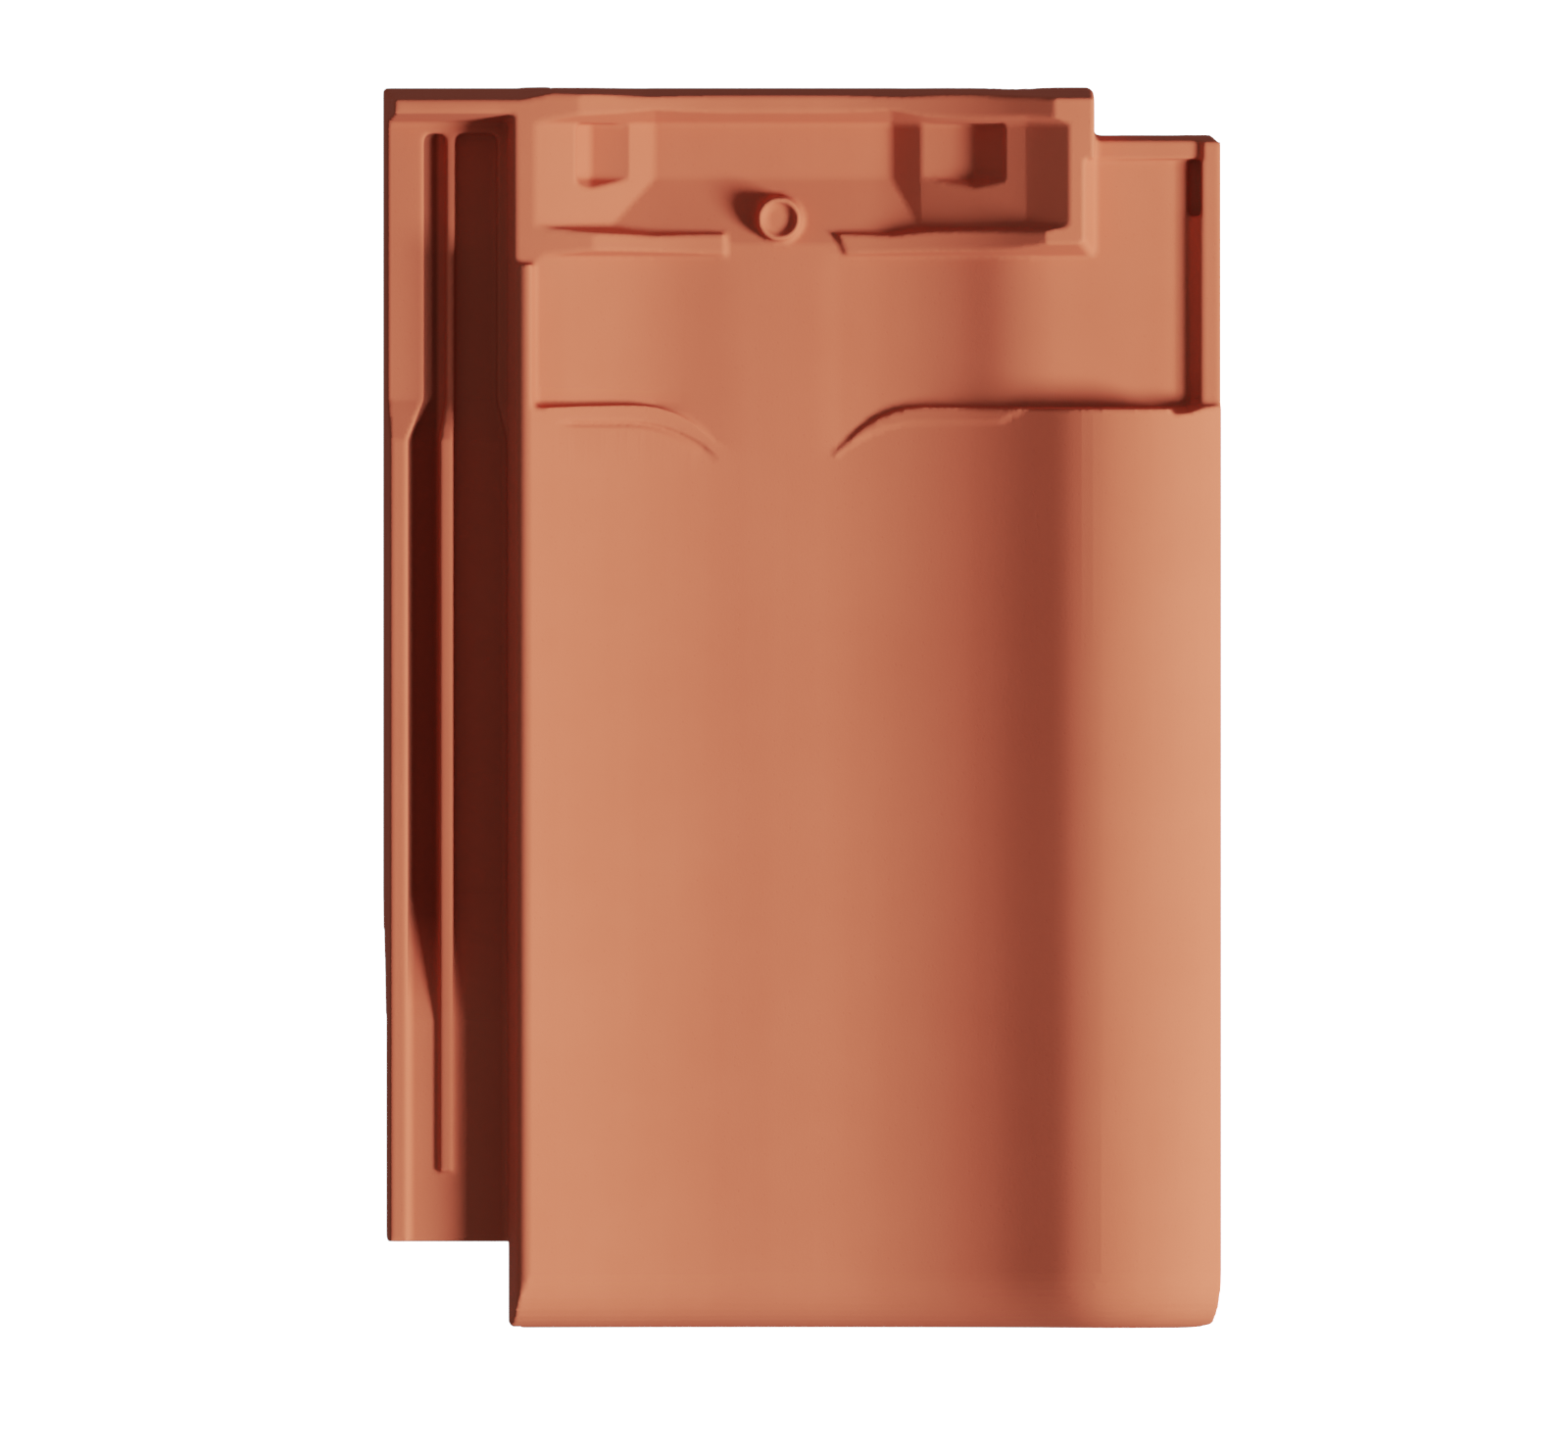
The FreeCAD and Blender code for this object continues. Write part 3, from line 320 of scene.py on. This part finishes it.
def soft_copy(node_name, name):
    """A copy of a CAD node in soft clay, with few enough triangles and the normals of the dense mesh."""
    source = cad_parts[node_name].data
    piece = linked(name, source.copy())
    close_wall(piece.data)
    dense = dense_clay(piece, source)
    piece.data = dense
    full = linked(name + "_full", dense)
    thin = piece.modifiers.new("thin", "DECIMATE")
    thin.ratio = TRIANGLES / sum(len(polygon.vertices) - 2 for polygon in dense.polygons)
    normals = piece.modifiers.new("normals", "DATA_TRANSFER")
    normals.object = full
    normals.use_loop_data = True
    normals.data_types_loops = {"CUSTOM_NORMAL"}
    normals.loop_mapping = "POLYINTERP_NEAREST"
    piece.data = applied(piece)
    piece.modifiers.clear()
    piece.data.name = name
    bpy.data.objects.remove(full)
    bpy.data.meshes.remove(dense)
    return piece


def node(tree, kind, place, **inputs):
    """A new shader node with its inputs set."""
    made = tree.nodes.new(kind)
    made.location = place
    for key, value in inputs.items():
        made.inputs[key].default_value = value
    return made


def span(tree, place, source, old, new):
    """The source's value moved from one range to another and held at its ends."""
    made = node(tree, "ShaderNodeMapRange", place)
    for name, number in zip(("From Min", "From Max", "To Min", "To Max"), tuple(old) + tuple(new)):
        made.inputs[name].default_value = number
    tree.links.new(source, made.inputs["Value"])
    return made.outputs["Result"]


def combined(tree, place, operation, first, second):
    """The result of a calculation with two values."""
    made = node(tree, "ShaderNodeMath", place)
    made.operation = operation
    tree.links.new(first, made.inputs[0])
    tree.links.new(second, made.inputs[1])
    return made.outputs["Value"]


def painted_channel_shade(tree, place):
    """Painted shade that darkens the deep outer channel of the side lock, below the level of its rim."""
    where = node(tree, "ShaderNodeSeparateXYZ", (-1450, -800))
    tree.links.new(place, where.inputs["Vector"])
    rim = span(tree, (-1200, -750), where.outputs["Y"], LOCK_STEP, RIM_LEVELS)
    depth = combined(tree, (-950, -750), "SUBTRACT", rim, where.outputs["Z"])
    painted_shade = span(tree, (-750, -750), depth, PAINTED_SHADE_DEPTH, (0, 1))
    limits = (("X", PAINTED_SHADE_LEFT, (0, 1)), ("X", PAINTED_SHADE_RIGHT, (1, 0)), ("Y", PAINTED_SHADE_FOOT, (0, 1)),
              ("Y", PAINTED_SHADE_HEAD, (1, 0)), ("Z", PAINTED_SHADE_FLOOR, (0, 1)))
    for row, (axis, band, fade) in enumerate(limits):
        height = -1000 - 250 * row
        inside = span(tree, (-750, height), where.outputs[axis], band, fade)
        painted_shade = combined(tree, (-550, height), "MULTIPLY", painted_shade, inside)
    return span(tree, (-350, -850), painted_shade, (0, 1), (1, PAINTED_SHADE_DARKNESS))


def body_color(tree, place):
    """Colour of the red body, mottled and with faint drag lines along the tile."""
    link = tree.links.new
    stretch = node(tree, "ShaderNodeMapping", (-1450, 300), Scale=(90.0, 3.0, 90.0))
    mottle = node(tree, "ShaderNodeTexNoise", (-1200, 500), Scale=16.0, Detail=5.0, Roughness=0.6)
    drag = node(tree, "ShaderNodeTexNoise", (-1200, 250), Scale=1.0, Detail=2.0, Roughness=0.5)
    link(place, stretch.inputs["Vector"])
    link(place, mottle.inputs["Vector"])
    link(stretch.outputs["Vector"], drag.inputs["Vector"])
    blend = node(tree, "ShaderNodeMix", (-950, 400), Factor=0.3)
    link(mottle.outputs["Fac"], blend.inputs["A"])
    link(drag.outputs["Fac"], blend.inputs["B"])
    body = node(tree, "ShaderNodeValToRGB", (-750, 400))
    for element, position, color in zip(body.color_ramp.elements, MOTTLE_BAND, (CLAY_DARK, CLAY_LIGHT)):
        element.position = position
        element.color = color
    link(blend.outputs["Result"], body.inputs["Fac"])
    return body.outputs["Color"]


def clay_material():
    """Matte fired clay: red body, sandy grain, small dark pores, edges rubbed paler, painted shade in
    hollows and in the lock's deep channel.
    """
    material = bpy.data.materials.new("clay")
    material.use_nodes = True
    tree = material.node_tree
    link = tree.links.new
    shader = tree.nodes["Principled BSDF"]
    shader.inputs["Specular IOR Level"].default_value = GLOSS

    place = node(tree, "ShaderNodeTexCoord", (-1700, 0)).outputs["Object"]
    grain = node(tree, "ShaderNodeTexNoise", (-1200, 0), Scale=1100.0, Detail=3.0, Roughness=0.65)
    pores = node(tree, "ShaderNodeTexVoronoi", (-1200, -250), Scale=330.0, Randomness=1.0)
    shape = node(tree, "ShaderNodeNewGeometry", (-1200, -500))
    link(place, grain.inputs["Vector"])
    link(place, pores.inputs["Vector"])
    pit = span(tree, (-950, -250), pores.outputs["Distance"], PORE_BAND, (0, 1))

    speck = span(tree, (-750, -250), pit, (0, 1), PORE_SHADE)
    # Pointiness makes convex edges paler as rubbed wear and concave hollows darker as painted shade.
    rub_and_hollow_shade = span(tree, (-950, -500), shape.outputs["Pointiness"], POINTINESS_BAND, RUB_AND_HOLLOW_SHADE)
    wear_and_hollow_shade = combined(tree, (-550, -350), "MULTIPLY", speck, rub_and_hollow_shade)
    tint = node(tree, "ShaderNodeVectorMath", (-350, 300))
    tint.operation = "SCALE"
    link(body_color(tree, place), tint.inputs["Vector"])
    # The base colour is also darkened by painted shade in the lock's deep channel.
    link(combined(tree, (-350, -550), "MULTIPLY", wear_and_hollow_shade, painted_channel_shade(tree, place)), tint.inputs["Scale"])
    link(tint.outputs["Vector"], shader.inputs["Base Color"])
    link(span(tree, (-750, 100), grain.outputs["Fac"], (0, 1), ROUGHNESS), shader.inputs["Roughness"])

    relief = node(tree, "ShaderNodeMath", (-750, -50))
    relief.operation = "MULTIPLY_ADD"
    relief.inputs[1].default_value = PORE_RELIEF
    link(pit, relief.inputs[0])
    link(grain.outputs["Fac"], relief.inputs[2])
    bump = node(tree, "ShaderNodeBump", (-350, -50), Strength=0.12, Distance=0.0003)
    link(relief.outputs["Value"], bump.inputs["Height"])
    link(bump.outputs["Normal"], shader.inputs["Normal"])
    return material


def paper_material():
    """White paper that glows evenly, so that it stays white around the tile."""
    material = bpy.data.materials.new("paper")
    material.use_nodes = True
    shader = material.node_tree.nodes["Principled BSDF"]
    shader.inputs["Base Color"].default_value = (0.8, 0.8, 0.8, 1)
    shader.inputs["Roughness"].default_value = 1.0
    shader.inputs["Emission Color"].default_value = (1, 1, 1, 1)
    shader.inputs["Emission Strength"].default_value = FLOOR_GLOW
    return material


def add_floor():
    """Plain white floor, which sheds no light on the tile."""
    bpy.ops.mesh.primitive_plane_add(size=FLOOR_SIZE, location=(0, 0, -FLOOR_DROP))
    floor = bpy.context.object
    floor.name = "floor"
    floor.data.materials.append(paper_material())
    floor.visible_diffuse = False
    floor.visible_glossy = False


def add_lamp():
    """One softbox on the right and a little towards the foot, aimed at the tile."""
    lamp = bpy.data.lights.new("key", "AREA")
    lamp.shape = "DISK"
    lamp.size = LAMP_SIZE
    lamp.energy = LAMP_POWER
    key = linked("key", lamp)
    key.location = LAMP_PLACE
    key.rotation_euler = (-key.location).to_track_quat("-Z", "Y").to_euler()


def add_room():
    """Faint light from the room above and more from the pale floor below."""
    world = bpy.data.worlds.new("studio")
    bpy.context.scene.world = world
    world.use_nodes = True
    tree = world.node_tree
    background = tree.nodes["Background"]
    background.inputs["Color"].default_value = (1, 1, 1, 1)
    heading = node(tree, "ShaderNodeTexCoord", (-700, 0))
    split = node(tree, "ShaderNodeSeparateXYZ", (-500, 0))
    tree.links.new(heading.outputs["Generated"], split.inputs["Vector"])
    light = span(tree, (-300, 0), split.outputs["Z"], HORIZON, ROOM_LIGHT)
    tree.links.new(light, background.inputs["Strength"])


def add_camera():
    """Camera straight above, far enough away that the walls look upright."""
    lens = bpy.data.cameras.new("camera")
    lens.sensor_width = SENSOR
    lens.lens = SENSOR * (CAMERA_PLACE[2] - SEEN_LEVEL) / SEEN_WIDTH
    lens.clip_end = CAMERA_REACH
    camera = linked("camera", lens)
    camera.location = CAMERA_PLACE
    camera.rotation_euler = (0, 0, 0)
    bpy.context.scene.camera = camera


def set_response():
    """Tones of the picture, by the curve that holds for all colours."""
    view = bpy.context.scene.view_settings
    view.view_transform = "Standard"
    view.use_curve_mapping = True
    response = view.curve_mapping
    response.clip_max_x = WHITE
    response.use_clip = True
    all_colors = response.curves[3]
    all_colors.points[1].location = (WHITE, 1.0)
    for exposure, shown in SHOULDER:
        all_colors.points.new(exposure, shown)
    response.update()


tile = soft_copy("pantile", "pantile_clay")
tile.data.materials.clear()
tile.data.materials.append(clay_material())
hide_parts("pantile")
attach(tile, "root")

add_floor()
add_lamp()
add_room()
add_camera()
set_response()

bpy.context.view_layer.update()
